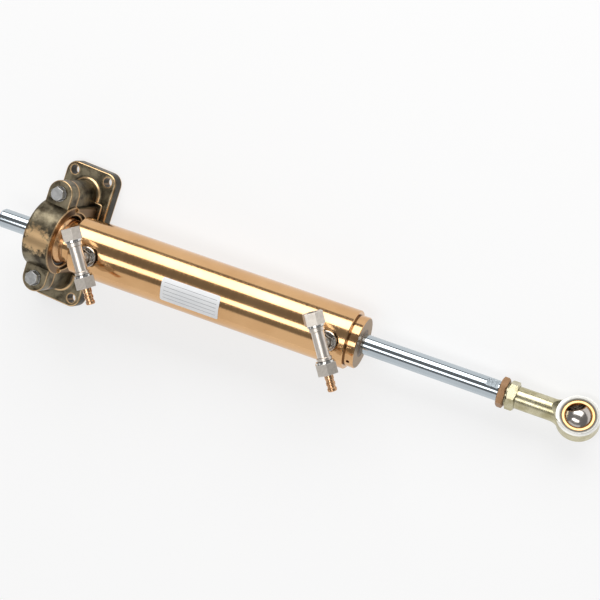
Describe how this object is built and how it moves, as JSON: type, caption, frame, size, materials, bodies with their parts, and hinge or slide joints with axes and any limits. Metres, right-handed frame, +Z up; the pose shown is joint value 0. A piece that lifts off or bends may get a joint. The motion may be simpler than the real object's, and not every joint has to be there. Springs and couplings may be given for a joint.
{
  "type": "hydraulic steering cylinder",
  "caption": "Bronze hydraulic steering cylinder for a boat: ball-mounted barrel in a split-clamp foot bracket, through rod with rod end, two tee fittings with bleeders.",
  "frame": {"origin": "centre of the bracket's bolt hole rectangle, on the underside of its plate", "axes": "+Z up out of the plate, +X across the plate from the bracket to the rod end, +Y along the plate's long side"},
  "size_m": [0.6419, 0.148, 0.112],
  "materials": {
    "cast_bronze": "satin",
    "polished_bronze": "gloss",
    "ball_bronze": "gloss",
    "dark_nut_bronze": "satin",
    "bleeder_brass": "satin",
    "hard_chrome": "gloss",
    "ball_steel": "gloss",
    "stainless_steel": "satin",
    "nickel_plate": "gloss",
    "passivated_steel": "satin",
    "race_bronze": "gloss",
    "spring_steel": "satin",
    "liner_plastic": "matte",
    "bush_plastic": "matte",
    "seal_plastic": "matte",
    "black_rubber": "matte",
    "foil": "satin"
  },
  "bodies": {
    "bracket": {"bracket_base": "cast_bronze", "bracket_cap": "cast_bronze", "clamp_bolts": "stainless_steel", "clamp_washers": "stainless_steel"},
    "seat_liner": {"seat_liner_upper": "liner_plastic", "seat_liner_lower": "liner_plastic"},
    "ball_sleeve": {"ball_sleeve_left": "ball_bronze", "ball_sleeve_right": "ball_bronze"},
    "barrel": {"barrel_tube": "polished_bronze", "barrel_label": "foil", "front_gland": "polished_bronze", "front_rod_bush": "bush_plastic", "front_rod_seal": "seal_plastic", "front_rod_wiper": "seal_plastic", "front_gland_o_ring": "black_rubber", "front_tee_body": "nickel_plate", "front_tee_seal": "black_rubber", "front_tee_washer": "nickel_plate", "front_tee_lock_nut": "nickel_plate", "front_tube_nut": "nickel_plate", "front_tube_olive": "bleeder_brass", "front_bleed_nut": "nickel_plate", "rear_gland": "polished_bronze", "rear_rod_bush": "bush_plastic", "rear_rod_seal": "seal_plastic", "rear_rod_wiper": "seal_plastic", "rear_gland_o_ring": "black_rubber", "rear_tee_body": "nickel_plate", "rear_tee_seal": "black_rubber", "rear_tee_washer": "nickel_plate", "rear_tee_lock_nut": "nickel_plate", "rear_tube_nut": "nickel_plate", "rear_tube_olive": "bleeder_brass", "rear_bleed_nut": "nickel_plate", "rear_snap_ring": "spring_steel"},
    "piston_rings": {"piston_seal": "seal_plastic", "piston_seal_energiser": "black_rubber", "piston_guide_rings": "bush_plastic"},
    "rod": {"piston_rod": "hard_chrome", "piston": "ball_bronze", "piston_inner_o_ring": "black_rubber", "piston_snap_rings": "spring_steel", "rod_lock_nut": "dark_nut_bronze", "rod_end_body": "passivated_steel", "rod_end_race": "race_bronze"},
    "rod_end_ball": {"rod_end_ball": "ball_steel"},
    "rear_bleeder": {"rear_bleed_screw": "bleeder_brass"},
    "front_bleeder": {"front_bleed_screw": "bleeder_brass"}
  },
  "joints": [
    {"name": "bracket_swivel", "type": "hinge", "parent": "bracket", "child": "seat_liner", "pos_m": [0, 0, 0.054], "axis": [0, 0, 1], "range_deg": [-9.9, 4.4]},
    {"name": "bracket_tilt", "type": "hinge", "parent": "seat_liner", "child": "ball_sleeve", "pos_m": [0, 0, 0.054], "axis": [0.0482, -0.9988, 0], "range_deg": [-3.6, 10.8]},
    {"name": "barrel_roll", "type": "hinge", "parent": "ball_sleeve", "child": "barrel", "pos_m": [0, 0, 0.054], "axis": [0.9969, 0.0481, -0.0628], "range_deg": [-60, 60]},
    {"name": "rod_slide", "type": "slide", "parent": "barrel", "child": "piston_rings", "axis": [0.9969, 0.0481, -0.0628], "range_m": [-0.137, 0.091]},
    {"name": "rod_turn", "type": "hinge", "parent": "piston_rings", "child": "rod", "pos_m": [0.20635, 0.00995, 0.041], "axis": [0.9969, 0.0481, -0.0628], "continuous": true},
    {"name": "rod_end_ball_turn", "type": "hinge", "parent": "rod", "child": "rod_end_ball", "pos_m": [0.55924, 0.02696, 0.01877], "axis": [0.7842, 0.4941, -0.3753], "continuous": true},
    {"name": "rear_bleed_turn", "type": "hinge", "parent": "barrel", "child": "rear_bleeder", "pos_m": [0.07232, -0.02721, 0.09546], "axis": [0.5403, -0.833, -0.1188], "range_deg": [0, 270]},
    {"name": "front_bleed_turn", "type": "hinge", "parent": "barrel", "child": "front_bleeder", "pos_m": [0.3325, -0.01467, 0.07908], "axis": [0.5403, -0.833, -0.1188], "range_deg": [0, 270]}
  ]
}
